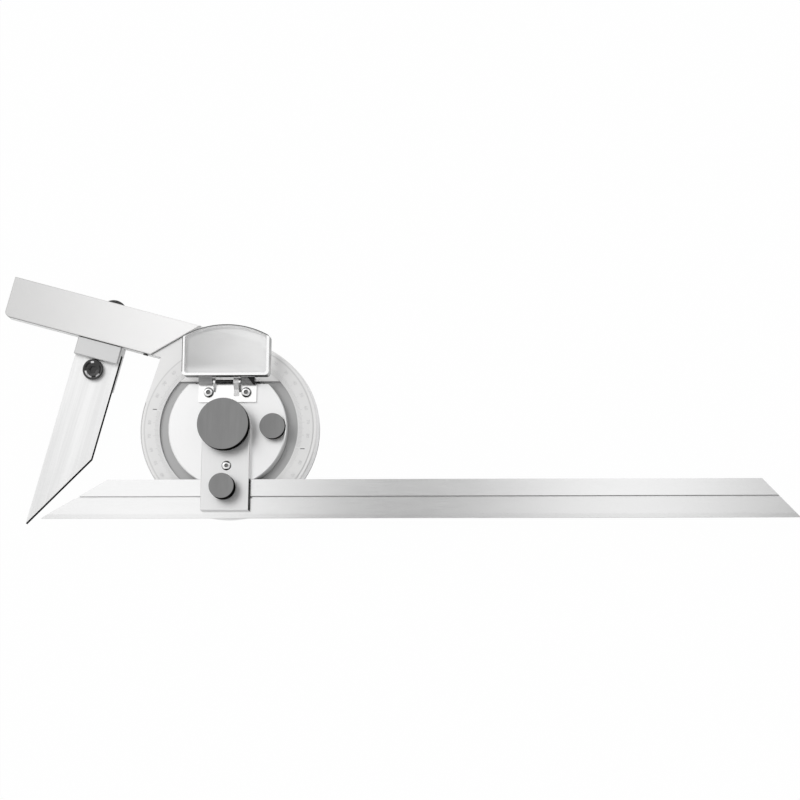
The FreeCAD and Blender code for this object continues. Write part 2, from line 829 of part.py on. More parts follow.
def hinge_spring():
    """Leaf that lies on the bracket, rises off it and curls over the pin."""
    inner = hinge_pin_radius + spring_gap
    outer = inner + spring_thickness
    x0 = spring_x - spring_width / 2
    slope = math.radians(spring_touch - 90)
    middle = (spring_touch + spring_tip) / 2

    def rim(radius, degrees):
        angle = math.radians(degrees)
        return point(x0, hinge_y + radius * math.cos(angle), hinge_z + radius * math.sin(angle))

    def bend(radius, height):
        """Where the straight rise to a rim meets a height."""
        touch = rim(radius, spring_touch)
        return point(x0, touch.y - (touch.z - height) / math.tan(slope), height)

    foot_high = bracket_face + spring_thickness
    low = [point(x0, spring_foot_y, bracket_face), bend(inner, bracket_face), rim(inner, spring_touch)]
    high = [point(x0, spring_foot_y, foot_high), bend(outer, foot_high), rim(outer, spring_touch)]
    under = Part.Arc(low[-1], rim(inner, middle), rim(inner, spring_tip)).toShape()
    over = Part.Arc(high[-1], rim(outer, middle), rim(outer, spring_tip)).toShape()
    tip = Part.makeLine(rim(inner, spring_tip), rim(outer, spring_tip))
    edges = [Part.makeLine(a, b) for a, b in zip(low, low[1:])] + [under, tip, over]
    edges += [Part.makeLine(a, b) for a, b in zip(high[::-1], high[-2::-1])]
    edges.append(Part.makeLine(high[0], low[0]))
    return Part.Face(Part.Wire(edges)).extrude(point(spring_width, 0, 0))


def attachment_outline(low, high):
    return (-attachment_centre - attachment_width / 2, -attachment_centre + attachment_width / 2,
            low, high)


def attachment_holder():
    """Block under the stock's inner edge, with a rear plate and a tab for the leg."""
    block_low = inner_edge - holder_depth
    left, right, low, high = attachment_outline(block_low, inner_edge - slide)
    body = block(left, right, low, high, holder_under, holder_face)
    body = broken(body, holder_face, edge_break)
    plate_low = back_level - slide
    plate = block(left, right, high, working_edge - rear_plate_overhang, holder_under, plate_low)
    tab = block(left, right, block_low - leg_tab, block_low, holder_under, leg_under)
    body = body.fuse([plate, tab])
    cuts = [block(left, right, block_low, block_low + leg_insert + press, leg_under, leg_face + press),
            cylinder(leg_screw_radius + press, holder_under, leg_under, -attachment_centre,
                     leg_screw_y),
            cylinder(clamp_screw_radius + running, holder_under, plate_low, -attachment_centre,
                     clamp_screw_y)]
    return on_stock(body.cut(cuts).removeSplitter())


def attachment_leg():
    """Leg with a slanting tip, let into the block."""
    tip = working_edge - leg_reach
    top = inner_edge - holder_depth + leg_insert
    left, right, _, _ = attachment_outline(tip, top)
    rise = attachment_width / math.tan(math.radians(leg_tip_angle))
    leg = prism([(left, tip), (right, tip + rise), (right, top), (left, top)], leg_under, leg_face)
    return on_stock(leg.cut(cylinder(leg_screw_radius + press, leg_under, leg_face,
                                     -attachment_centre, leg_screw_y)))


def socket_screw(radius, head_radius, tip, seat, top, y, socket_face, way):
    """Round-headed screw with a hexagon socket."""
    low_break = edge_break if way > 0 else 0.0
    high_break = edge_break if way < 0 else 0.0
    head_low, head_high = sorted((seat, top))
    x = -attachment_centre
    head = turned([(0, head_low), (head_radius - low_break, head_low),
                   (head_radius, head_low + low_break), (head_radius, head_high - high_break),
                   (head_radius - high_break, head_high), (0, head_high)], x, y)
    shank_low, shank_high = sorted((seat, tip))
    screw = head.fuse(cylinder(radius, shank_low, shank_high, x, y))
    corners = [polar(socket_radius, 360 / socket_sides * n) for n in range(socket_sides)]
    low, high = sorted((socket_face, socket_face + way * socket_depth))
    socket = prism([(x + c.x, y + c.y) for c in corners], low, high)
    return on_stock(screw.cut(socket).removeSplitter())


def leg_screw():
    top = leg_face + leg_screw_head_height
    return socket_screw(leg_screw_radius, leg_screw_head, holder_under, leg_face, top,
                        leg_screw_y, top, -1)


def nut_top():
    return back_level + slot_mouth_depth + slot_room_depth - slide


def attachment_clamp_screw():
    top = holder_under - clamp_screw_head_height
    return socket_screw(clamp_screw_radius, clamp_screw_head, nut_top() - slide, holder_under, top,
                        clamp_screw_y, top, 1)


def clamp_t_nut():
    low = back_level + slot_mouth_depth + slide
    half = slot_room_width / 2 - slide
    nut = block(-attachment_centre - nut_length / 2, -attachment_centre + nut_length / 2,
                clamp_screw_y - half, clamp_screw_y + half, low, nut_top())
    return on_stock(nut.cut(cylinder(clamp_screw_radius + running, low, nut_top(),
                                     -attachment_centre, clamp_screw_y)))


pieces = [base_body, scale_ring, ring_gear, gear_screws, centre_stud, stock_set_screw,
          turret_disc, centre_bush, turret_washer, vernier_plate, vernier_screws, swivel_arm,
          arm_screw, arm_dowels, magnifier_bracket, bracket_screws, hinge_pin, hinge_spring,
          knob_washer, pinion_bush, clamp_washer, dial_clamp_knob, fine_knob, pinion_shaft,
          blade, blade_clamp_knob, blade_hook_bolt, magnifier_frame, magnifier_lens,
          attachment_holder, attachment_leg, leg_screw, attachment_clamp_screw, clamp_t_nut]

for make in pieces:
    shape = make()
    name = make.__name__
    print(name, len(shape.Solids), round(shape.Volume, 2), shape.isValid())
    shape.exportStep(os.path.join("parts", name + ".step"))
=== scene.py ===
import json
import math

import bmesh
import bpy
from mathutils import Matrix, Vector


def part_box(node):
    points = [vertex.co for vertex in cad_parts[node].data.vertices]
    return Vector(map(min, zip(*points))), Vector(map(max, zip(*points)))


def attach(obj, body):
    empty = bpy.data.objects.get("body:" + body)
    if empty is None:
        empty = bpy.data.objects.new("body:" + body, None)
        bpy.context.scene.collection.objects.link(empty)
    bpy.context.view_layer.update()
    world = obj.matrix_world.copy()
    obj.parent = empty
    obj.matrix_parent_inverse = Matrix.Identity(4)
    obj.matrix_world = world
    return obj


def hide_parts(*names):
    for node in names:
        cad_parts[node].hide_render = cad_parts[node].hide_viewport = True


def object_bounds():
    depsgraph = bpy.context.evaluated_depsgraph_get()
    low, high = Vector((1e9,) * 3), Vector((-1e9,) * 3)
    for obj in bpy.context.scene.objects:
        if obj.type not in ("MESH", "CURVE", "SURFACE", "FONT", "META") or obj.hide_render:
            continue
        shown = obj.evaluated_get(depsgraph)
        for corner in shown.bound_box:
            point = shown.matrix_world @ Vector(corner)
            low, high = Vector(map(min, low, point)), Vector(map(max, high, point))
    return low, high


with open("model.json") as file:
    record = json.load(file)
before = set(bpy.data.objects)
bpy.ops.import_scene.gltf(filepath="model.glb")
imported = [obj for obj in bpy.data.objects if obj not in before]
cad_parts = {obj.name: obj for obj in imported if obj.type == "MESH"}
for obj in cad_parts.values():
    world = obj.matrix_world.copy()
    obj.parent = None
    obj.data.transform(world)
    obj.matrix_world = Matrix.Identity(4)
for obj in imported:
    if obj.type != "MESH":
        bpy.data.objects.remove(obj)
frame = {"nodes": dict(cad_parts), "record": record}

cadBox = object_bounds()
mm = 0.001
fullTurn = 2 * math.pi
stockTurn = math.radians(15.0)                  # the stock's slope against the blade
print("frame loaded:", len(frame["nodes"]), "nodes")


# camera

view = {
    "yaw": -9.0, "pitch": -9.153, "roll": -1.223,
    "aim": Vector((66.133, 12.979, 0.0)) * mm,
    "distance": 4.0,
    "frameWidth": 0.31387,                      # what the picture spans at the aim point
    "sensor": 36.0,
    "near": 0.1, "far": 20.0,
}


def makeCamera():
    turn = (Matrix.Rotation(math.radians(view["roll"]), 3, "Z")
            @ Matrix.Rotation(math.radians(view["pitch"]), 3, "X")
            @ Matrix.Rotation(math.radians(view["yaw"]), 3, "Y"))
    data = bpy.data.cameras.new("camera")
    data.sensor_width = view["sensor"]
    data.lens = view["sensor"] * view["distance"] / view["frameWidth"]
    data.clip_start, data.clip_end = view["near"], view["far"]
    camera = bpy.data.objects.new("camera", data)
    bpy.context.scene.collection.objects.link(camera)
    camera.matrix_world = Matrix.Translation(view["aim"] + view["distance"] * turn.row[2]) \
        @ turn.transposed().to_4x4()
    bpy.context.scene.camera = camera
    return camera


camera = makeCamera()
eye = camera.matrix_world.translation.copy()
print("camera placed")


# node trees

class Wire:                                     # a socket that can be reckoned with
    def __init__(self, tree, socket):
        self.tree, self.socket = tree, socket

    def math(self, operation, *others):
        made = self.tree.node("ShaderNodeMath", {"operation": operation},
                              dict(enumerate([self, *others])))
        return made[0]

    def __add__(self, other):
        return self.math("ADD", other)

    def __mul__(self, other):
        return self.math("MULTIPLY", other)

    def __sub__(self, other):
        return self.math("SUBTRACT", other)

    def __rsub__(self, other):
        return (self * -1) + other

    def __truediv__(self, other):
        return self.math("DIVIDE", other)

    def __pow__(self, other):
        return self.math("POWER", other)

    def __abs__(self):
        return self.math("ABSOLUTE")

    __radd__, __rmul__ = __add__, __mul__

    def between(self, low, high):               # 0 at low, 1 at high, smooth
        return self.tree.node("ShaderNodeMapRange", {"interpolation_type": "SMOOTHSTEP"},
                              {"Value": self, "From Min": low, "From Max": high})[0]

    def sine(self):
        return self.math("SINE")

    def upToOne(self):
        return self.math("MINIMUM", 1.0)


class Finish:                                   # the node tree of a material or world
    def __init__(self, owner):
        owner.use_nodes = True
        self.owner, self.nodes, self.links = owner, owner.node_tree.nodes, owner.node_tree.links
        self.nodes.clear()

    def node(self, kind, settings=None, sockets=None):
        made = self.nodes.new(kind)
        for key, value in (settings or {}).items():
            if key == "stops":
                ramp = made.color_ramp.elements
                while len(ramp) < len(value):
                    ramp.new(1.0)
                for stop, (place, shade) in zip(ramp, value):
                    stop.position, stop.color = place, (shade, shade, shade, 1)
            else:
                setattr(made, key, value)
        for key, value in (sockets or {}).items():
            if isinstance(value, Wire):
                self.links.new(value.socket, made.inputs[key])
            else:
                made.inputs[key].default_value = value
        return [Wire(self, socket) for socket in made.outputs]

    def place(self, centre=(0, 0, 0), turn=0.0, scale=(1, 1, 1)):
        spot = self.node("ShaderNodeTexCoord")[3]
        moved = self.node("ShaderNodeMapping", None,
                          {"Vector": spot, "Location": [-c for c in centre]})[0]
        turned = self.node("ShaderNodeMapping", None, {"Vector": moved, "Rotation": (0, 0, turn)})[0]
        return self.node("ShaderNodeMapping", None, {"Vector": turned, "Scale": scale})[0]

    def noise(self, place, scale, detail=2.0, roughness=0.5):
        return self.node("ShaderNodeTexNoise", None, {"Vector": place, "Scale": scale,
                         "Detail": detail, "Roughness": roughness})[0]

    def parts(self, place):
        return self.node("ShaderNodeSeparateXYZ", None, {0: place})

    def radius(self, place):
        x, y, _ = self.parts(place)
        return (x * x + y * y) ** 0.5

    def facing(self):                           # the surface's direction, as x, y and z
        return self.parts(self.node("ShaderNodeTexCoord")[1])

    def level(self, steep=0.6, soft=0.35):      # 1 on level faces, 0 on walls
        return abs(self.facing()[2]).between(steep - soft, steep)

    def blend(self, share, first, second):
        return self.node("ShaderNodeMix", {"data_type": "RGBA"}, {0: share, 6: first, 7: second})[2]

    def mottled(self, share, shade, spread, warmth=0.0):        # a grey that wanders with a noise
        return self.blend(share, grey(shade * spread[0], warmth), grey(shade * spread[1], warmth))

    def bump(self, height, distance, strength):
        return self.node("ShaderNodeBump", None, {"Height": height, "Distance": distance,
                                                  "Strength": strength})[0]

    def glow(self, colour, strength=1.0):
        return self.node("ShaderNodeEmission", None, {"Color": colour, "Strength": strength})[0]

    def output(self, shader, kind="ShaderNodeOutputMaterial"):
        self.node(kind, None, {"Surface": shader})
        return self.owner

    def surface(self, sockets):
        return self.output(self.node("ShaderNodeBsdfPrincipled", None, sockets)[0])


def newFinish(name):
    return Finish(bpy.data.materials.new(name))


def grey(shade, warmth=0.0):
    return (shade * (1 + warmth), shade, shade * (1 - warmth), 1)


# stage: a pale floor, a white surround, one soft lamp and cards that the metal mirrors

studio = {
    "worldDiffuse": 0.72,                       # on matt surfaces, the eye sees it white
    "floorSize": 6.0, "floorShade": 0.86, "floorGlow": 0.985, "floorGap": 0.05 * mm,
    "lampPlace": Vector((-0.75, 0.55, 1.3)), "lampSize": 0.9, "lampPower": 2.4,
    "cardHeight": 0.45,
}
# places along the blade in mm, with the card's shade that is mirrored there
bladeCard = {
    "shades": [(-110, 0.74), (-50, 0.90), (-10, 0.97), (22, 0.84), (56, 0.22), (92, 0.34), (135, 0.92),
               (170, 1.04), (200, 0.76), (235, 0.35)],
    "glow": 1.11, "reach": (-0.09, 0.042), "tilt": 0.0,
}
bevelCard = {
    "shades": [(-110, 0.50), (-40, 0.89), (-10, 0.98), (20, 0.72), (56, 0.06), (85, 0.10), (120, 0.64),
               (165, 1.0), (200, 0.80), (235, 0.10)],
    "glow": 1.27, "reach": (-0.14, 0.14), "tilt": math.atan2(0.9, 1.5),     # it leans as the bevel does
}
darkFlag = {"place": Vector((0.70, -0.60, 0.0)), "size": 1.1, "height": 0.9, "shade": 0.30}


def seenDirectly(finish):                       # by the camera, in a mirror or through glass
    path = finish.node("ShaderNodeLightPath")
    return (path[0] + path[3] + path[6]).upToOne()


def makeWorld():
    world = bpy.data.worlds.new("studio")
    bpy.context.scene.world = world
    world.cycles.sampling_method = "NONE"       # so the cards hide the world from the metal
    finish = Finish(world)
    direct = seenDirectly(finish)
    strength = direct * (1 - studio["worldDiffuse"]) + studio["worldDiffuse"]
    light = finish.node("ShaderNodeBackground", None, {"Color": (1, 1, 1, 1), "Strength": strength})[0]
    finish.output(light, "ShaderNodeOutputWorld")


def plane(name, low, high, height):
    bm = bmesh.new()
    bmesh.ops.create_grid(bm, x_segments=1, y_segments=1, size=0.5)
    bmesh.ops.scale(bm, vec=(high[0] - low[0], high[1] - low[1], 1), verts=bm.verts)
    bmesh.ops.translate(bm, vec=((high[0] + low[0]) / 2, (high[1] + low[1]) / 2, height), verts=bm.verts)
    mesh = bpy.data.meshes.new(name)
    bm.to_mesh(mesh)
    bm.free()
    made = bpy.data.objects.new(name, mesh)
    bpy.context.scene.collection.objects.link(made)
    return made


def makeFloor():
    half = studio["floorSize"] / 2
    floor = plane("floor", (-half, -half), (half, half), cadBox[0].z - studio["floorGap"])
    finish = newFinish("paleFloor")
    paper = finish.node("ShaderNodeBsdfDiffuse", None, {"Color": grey(studio["floorShade"])})[0]
    mixed = finish.node("ShaderNodeMixShader", None, {
        0: seenDirectly(finish) * studio["floorGlow"], 1: paper, 2: finish.glow((1, 1, 1, 1))})[0]
    floor.data.materials.append(finish.output(mixed))


def mirrored(spot, normal, height):             # where the eye sees a spot of the blade mirrored
    sight = (spot - eye).normalized()
    way = sight - 2 * sight.dot(normal) * normal
    return spot + way * ((height - spot.z) / way.z)


def onlyMirrored(card):
    card.visible_camera = card.visible_diffuse = card.visible_shadow = False
    card.visible_transmission = False


def makeReflector(name, look, spot):
    height = studio["cardHeight"]
    normal = Vector((0, -math.sin(look["tilt"]), math.cos(look["tilt"])))
    places = [mirrored(Vector((x * mm, spot.y, spot.z)), normal, height) for x, _ in look["shades"]]
    start, span = places[0].x, places[-1].x - places[0].x
    low, high = [places[0].y + reach for reach in look["reach"]]
    card = plane(name, (start - span, low), (start + span * 2, high), height)
    finish = newFinish(name + "Shade")
    share = (finish.parts(finish.place())[0] - start) / span
    stops = [((place.x - start) / span, shade) for place, (_, shade) in zip(places, look["shades"])]
    shade = finish.node("ShaderNodeValToRGB", {"stops": stops}, {0: share})[0]
    card.data.materials.append(finish.output(finish.glow(shade, look["glow"])))
    onlyMirrored(card)


def makeFlag():                                 # a board beside the floor, for the screws' rims
    half, place = darkFlag["size"] / 2, darkFlag["place"]
    flag = plane("darkFlag", (-half, 0), (half, darkFlag["height"]), 0)
    stand = Matrix.Rotation(math.radians(90), 4, "X")
    turn = Matrix.Rotation(math.atan2(place.y, place.x) + math.radians(90), 4, "Z")
    flag.data.transform(Matrix.Translation(place) @ turn @ stand)
    finish = newFinish("flagShade")
    flag.data.materials.append(finish.output(finish.glow(grey(darkFlag["shade"]))))
    onlyMirrored(flag)


def makeLamp():
    data = bpy.data.lights.new("softLamp", "AREA")
    data.size = studio["lampSize"]
    data.energy = studio["lampPower"]
    lamp = bpy.data.objects.new("softLamp", data)
    bpy.context.scene.collection.objects.link(lamp)
    lamp.location = studio["lampPlace"]
    lamp.rotation_euler = (-studio["lampPlace"]).to_track_quat("-Z", "Y").to_euler()


bladeLow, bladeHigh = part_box("blade")
makeWorld()
makeFloor()
makeReflector("bladeCard", bladeCard, (bladeLow + bladeHigh) / 2)
makeReflector("bevelCard", bevelCard, bladeLow)
makeFlag()
makeLamp()
bpy.context.scene.view_settings.view_transform = "Standard"
print("stage set")


# finishes of the metal: "shade" is for level faces and "wall" for the walls round them, whose greys are
# mostly darker as painted shade

ringJoint = {"radius": 33.6 * mm, "core": 0.12 * mm, "edge": 0.42 * mm}
satin = {"spread": (0.96, 1.03), "warmth": 0.004, "cloud": 60, "grain": 3500, "strokes": 300,
         "stretch": (1, 30, 1), "turn": 0.0, "metal": 0.8, "rough": 0.35, "strokeRough": 0.08,
         "grainRough": 0.06, "specular": 0.15, "grainShare": 0.6, "bump": 0.004 * mm,
         "bumpStrength": 0.6, "joint": 0.0}
dialLook = {**satin, "shade": 0.75, "wall": 0.60, "metal": 0.7, "joint": 0.16}
bracketLook = {**satin, "shade": 0.985, "wall": 0.95, "metal": 1.0, "rough": 0.23}
springLook = {**satin, "shade": 0.95, "wall": 0.95, "metal": 0.2}


def darkJoint(finish, look, face):              # the fine dark line between dial ring and body
    away = abs(finish.radius(finish.place()) - ringJoint["radius"])
    line = 1 - away.between(ringJoint["core"], ringJoint["edge"])
    return finish.blend(line * look["joint"], face, grey(0.0))


def strokes(finish, look):
    return finish.noise(finish.place(turn=look["turn"], scale=look["stretch"]), look["strokes"], 3)


def satinSurface(finish, look, face, wall):
    grain, brushed = finish.noise(finish.place(), look["grain"]), strokes(finish, look)
    height = grain * look["grainShare"] + brushed * (1 - look["grainShare"])
    level = finish.level()
    return finish.surface({
        "Base Color": finish.blend(level, wall, face),
        "Metallic": level * look["metal"],
        "Roughness": brushed * look["strokeRough"] + grain * look["grainRough"] + look["rough"],
        "Specular IOR Level": look["specular"],
        "Normal": finish.bump(height, look["bump"], look["bumpStrength"])})


def satinChrome(name, look):
    finish = newFinish(name)
    cloud = finish.noise(finish.place(), look["cloud"], 3)
    face = finish.mottled(cloud, look["shade"], look["spread"], look["warmth"])
    if look["joint"]:
        face = darkJoint(finish, look, face)
    return satinSurface(finish, look, face, grey(look["wall"]))


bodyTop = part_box("base_body")[1].z
bodyLook = {**satin, "turn": stockTurn, "cloud": 45, "joint": 0.16, "wall": 0.95,
            # painted reflection: the stock's face darkens toward its left end
            "shade": 0.86, "endShade": 0.57, "reflectionFadeFrom": -105 * mm, "reflectionFadeTo": -10 * mm,
            "rimShade": 0.76, "rimTop": bodyTop - 0.6 * mm, "rimSoft": 0.2 * mm,
            # painted shade: the dark line under the stock's face, on the walls that look to -y
            "lineShade": 0.03, "lineLow": bodyTop - 2.0 * mm, "lineSoft": 0.3 * mm,
            "lineFacing": (-0.2, -0.5), "lineEnd": -17.5 * mm, "lineFade": 1 * mm,
            "lineOutside": (37.5 * 0.99 * mm, 37.5 * 1.03 * mm),
            # painted shade low on the round body, at its right
            "footShade": 0.10, "footTop": 4.5 * mm, "footX": (20 * mm, 24 * mm), "footY": (6 * mm, 0.0)}


def bodyChrome(name, look):
    finish = newFinish(name)
    cloud = finish.noise(finish.place(), look["cloud"], 3)
    x, y, z = finish.parts(finish.place())
    # painted shade: the dark line under the stock's face
    line = finish.radius(finish.place()).between(*look["lineOutside"])
    line = line * x.between(look["lineEnd"] + look["lineFade"], look["lineEnd"])
    line = line * z.between(look["lineLow"], look["lineLow"] + look["lineSoft"])
    line = line * finish.facing()[1].between(*look["lineFacing"])
    # painted shade low on the round body's right
    low = z.between(look["footTop"], look["footTop"] - look["lineSoft"])
    low = low * x.between(*look["footX"]) * y.between(*look["footY"]) * (1 - line)
    whole, fadedReflection, rim = [finish.mottled(cloud, look[key], look["spread"], look["warmth"])
                        for key in ("shade", "endShade", "rimShade")]
    # painted reflection, darker toward the stock's left end
    face = finish.blend(x.between(look["reflectionFadeFrom"], look["reflectionFadeTo"]), fadedReflection, whole)
    face = finish.blend(z.between(look["rimTop"], look["rimTop"] + look["rimSoft"]), rim, face)
    wall = finish.blend(line, finish.blend(low, grey(look["wall"]), grey(look["footShade"])),
                        grey(look["lineShade"]))
    return satinSurface(finish, look, darkJoint(finish, look, face), wall)


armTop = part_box("swivel_arm")[1].z
armLook = {**satin, "strokes": 200, "stretch": (40, 1, 1), "metal": 0.85, "rough": 0.26,
           "grainRough": 0.05, "specular": 0.0, "shade": 0.79, "wall": 0.80, "rightFacing": (0.3, 0.7),
           "rightShade": 0.90, "lineShade": 0.05, "line": (armTop - 0.9 * mm, armTop - 0.6 * mm),
           "footShade": 0.008, "foot": (-20.6 * mm, -20.2 * mm)}


def armChrome(name, look):                      # painted shade: its right side is dark under the edge and at the blade
    finish = newFinish(name)
    face = finish.mottled(strokes(finish, look), look["shade"], look["spread"])
    _, y, z = finish.parts(finish.place())
    upper = finish.blend(z.between(*look["line"]), grey(look["rightShade"]), grey(look["lineShade"]))
    right = finish.blend(y.between(*look["foot"]), grey(look["footShade"]), upper)
    wall = finish.blend(finish.facing()[0].between(*look["rightFacing"]), grey(look["wall"]), right)
    return satinSurface(finish, look, face, wall)


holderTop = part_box("attachment_holder")[1].z
holderLook = {**satin, "turn": stockTurn, "spread": (0.97, 1.02), "shade": 0.61, "wall": 0.75,
              "lineShade": 0.05, "line": (holderTop - 1.1 * mm, holderTop - 0.8 * mm)}


def holderChrome(name, look):                   # painted shade: a dark line under the block's edges
    finish = newFinish(name)
    face = finish.mottled(strokes(finish, look), look["shade"], look["spread"])
    under = finish.parts(finish.place())[2].between(*look["line"])
    wall = finish.blend(under, grey(look["wall"]), grey(look["lineShade"]))
    return satinSurface(finish, look, face, wall)


# the walls' greys are painted shade, pale at the left and dark right of the arm
bladeLook = {"shade": 0.88, "spread": (0.95, 1.05), "fine": 120, "fineStretch": (1, 60, 1), "broad": 30,
             "broadStretch": (1, 14, 1), "fineShare": 0.6, "leftWall": 0.85, "wall": 0.42,
             "wallX": (-12 * mm, 6 * mm), "metal": 0.95, "rough": 0.15, "fineRough": 0.10,
             "specular": 0.15, "bump": 0.006 * mm, "bumpStrength": 0.5,
             # painted shade: right of the arm the part below the groove is a little darker
             "belowY": (-27.2 * mm, -28.2 * mm), "belowX": (-10 * mm, 60 * mm), "belowDark": 0.05}


def groundSteel(name, look):
    finish = newFinish(name)
    fine = finish.noise(finish.place(scale=look["fineStretch"]), look["fine"], 4, 0.6)
    broad = finish.noise(finish.place(scale=look["broadStretch"]), look["broad"])
    share = fine * look["fineShare"] + broad * (1 - look["fineShare"])
    x, y, _ = finish.parts(finish.place())
    # painted shade on the walls
    wall = finish.blend(x.between(*look["wallX"]), grey(look["leftWall"]), grey(look["wall"]))
    # painted shade below the groove
    below = y.between(*look["belowY"]) * x.between(*look["belowX"]) * look["belowDark"]
    face = finish.blend(below, finish.mottled(share, look["shade"], look["spread"]), grey(0.0))
    level = finish.level()
    return finish.surface({
        "Base Color": finish.blend(level, wall, face),
        "Metallic": level * look["metal"],
        "Roughness": fine * look["fineRough"] + look["rough"],
        "Specular IOR Level": look["specular"],
        "Normal": finish.bump(fine, look["bump"], look["bumpStrength"])})


legLook = {"shade": 0.76, "spread": (0.93, 1.06), "fine": 60, "fineStretch": (1, 40, 1), "broad": 30,
           "broadStretch": (0.4, 9, 1), "fineShare": 0.4, "contrast": (0.3, 0.7), "wall": 0.608,
           "lineShade": 0.015, "lineFacing": (0.2, 0.5), "metal": 0.9, "rough": 0.28, "fineRough": 0.10,
           "bump": 0.006 * mm, "bumpStrength": 0.5}


def legSteel(name, look):                       # broad soft bands along the leg, and dark right walls of painted shade
    finish = newFinish(name)
    along = stockTurn - math.pi / 2
    fine = finish.noise(finish.place(turn=along, scale=look["fineStretch"]), look["fine"], 4, 0.6)
    broad = finish.noise(finish.place(turn=along, scale=look["broadStretch"]), look["broad"])
    share = (fine * look["fineShare"] + broad * (1 - look["fineShare"])).between(*look["contrast"])
    face = finish.mottled(share, look["shade"], look["spread"])
    # painted shade on the right walls
    right = finish.facing()[0].between(*look["lineFacing"])
    wall = finish.blend(right, grey(look["wall"]), grey(look["lineShade"]))
    level = finish.level()
    return finish.surface({
        "Base Color": finish.blend(level, wall, face),
        "Metallic": level * look["metal"],
        "Roughness": fine * look["fineRough"] + look["rough"],
        "Specular IOR Level": 0.0,
        "Normal": finish.bump(fine, look["bump"], look["bumpStrength"])})


turning = {"spread": (0.96, 1.03), "wobble": 90, "rings": 9000.0, "bands": 2500, "metal": 0.85,
           "bandRough": 0.12, "specular": 0.15, "bump": 0.003 * mm, "bumpStrength": 0.5}
discLook = {**turning, "shade": 0.87, "wall": 0.60, "rough": 0.26}
gearLook = {**turning, "shade": 0.43, "wall": 0.15, "rough": 0.34}


def turnedMetal(name, look):
    finish = newFinish(name)
    place = finish.place()
    radius = finish.radius(place)
    wobble = finish.noise(place, look["wobble"])
    ring = (radius * look["rings"] + wobble * 2).sine() * 0.5 + 0.5
    outwards = finish.node("ShaderNodeCombineXYZ", None, {0: radius * look["bands"]})[0]
    band = finish.noise(outwards, 1.0, 3)
    face = finish.mottled(band, look["shade"], look["spread"])
    level = finish.level()
    return finish.surface({
        "Base Color": finish.blend(level, grey(look["wall"]), face),
        "Metallic": level * look["metal"],
        "Roughness": band * look["bandRough"] + look["rough"],
        "Specular IOR Level": look["specular"],
        "Normal": finish.bump(ring * 0.5 + band, look["bump"], look["bumpStrength"])})


polishLook = {"shade": 0.80, "spread": (0.92, 1.05), "smear": 400, "scratch": 700, "turn": 0.6,
              "stretch": (1, 25, 25), "rough": 0.06, "smearRough": 0.08, "scratchRough": 0.05,
              "bump": 0.002 * mm, "bumpStrength": 0.4}


def polishedMetal(name, look):
    finish = newFinish(name)
    smear = finish.noise(finish.place(), look["smear"], 3)
    scratch = finish.noise(finish.place(turn=look["turn"], scale=look["stretch"]), look["scratch"])
    return finish.surface({
        "Base Color": finish.mottled(smear, look["shade"], look["spread"]),
        "Metallic": 1.0,
        "Roughness": smear * look["smearRough"] + scratch * look["scratchRough"] + look["rough"],
        "Normal": finish.bump(scratch, look["bump"], look["bumpStrength"])})


frameLook = {
    "face": 0.97, "outline": 0.10, "inside": 0.95, "metal": 0.9, "smear": 500, "rough": 0.12,
    "smearRough": 0.1, "specular": 0.2,
    # painted shade: the dark outline along the arch and the left side
    "archCentre": (0, 4.6 * mm, 0), "arch": (34.80 * mm, 34.85 * mm), "leftX": (-17.0 * mm, -17.05 * mm),
    "leftY": (20.5 * mm, 21.5 * mm),
    # walls with painted light and shade: the right side darker at the top, the front side darker toward
    # the right, and the inner sides that show through the lens painted pale
    "rightFacing": (0.3, 0.7), "rightLow": 0.62, "rightHigh": 0.10, "rightY": (21 * mm, 34 * mm),
    "frontLeft": 0.22, "frontRight": 0.03, "frontX": (-17 * mm, 4 * mm),
    "insideX": (16.7 * mm, 16.6 * mm), "insideY": (20.2 * mm, 20.3 * mm),
    # hinge barrels, grey in painted shade: the right one is specked and ends in a black slant of painted
    # shade
    "barrel": 0.42, "barrelSpread": (0.85, 1.15), "barrelY": (19.45 * mm, 19.55 * mm), "speck": 2600,
    "speckContrast": (0.35, 0.65), "speckX": (0, 1 * mm), "speckShade": 0.08, "speckShare": 0.8,
    "slantLean": 0.8, "slantY": 17.2 * mm, "slant": (9.9 * mm, 10.2 * mm), "slantShade": 0.01,
}


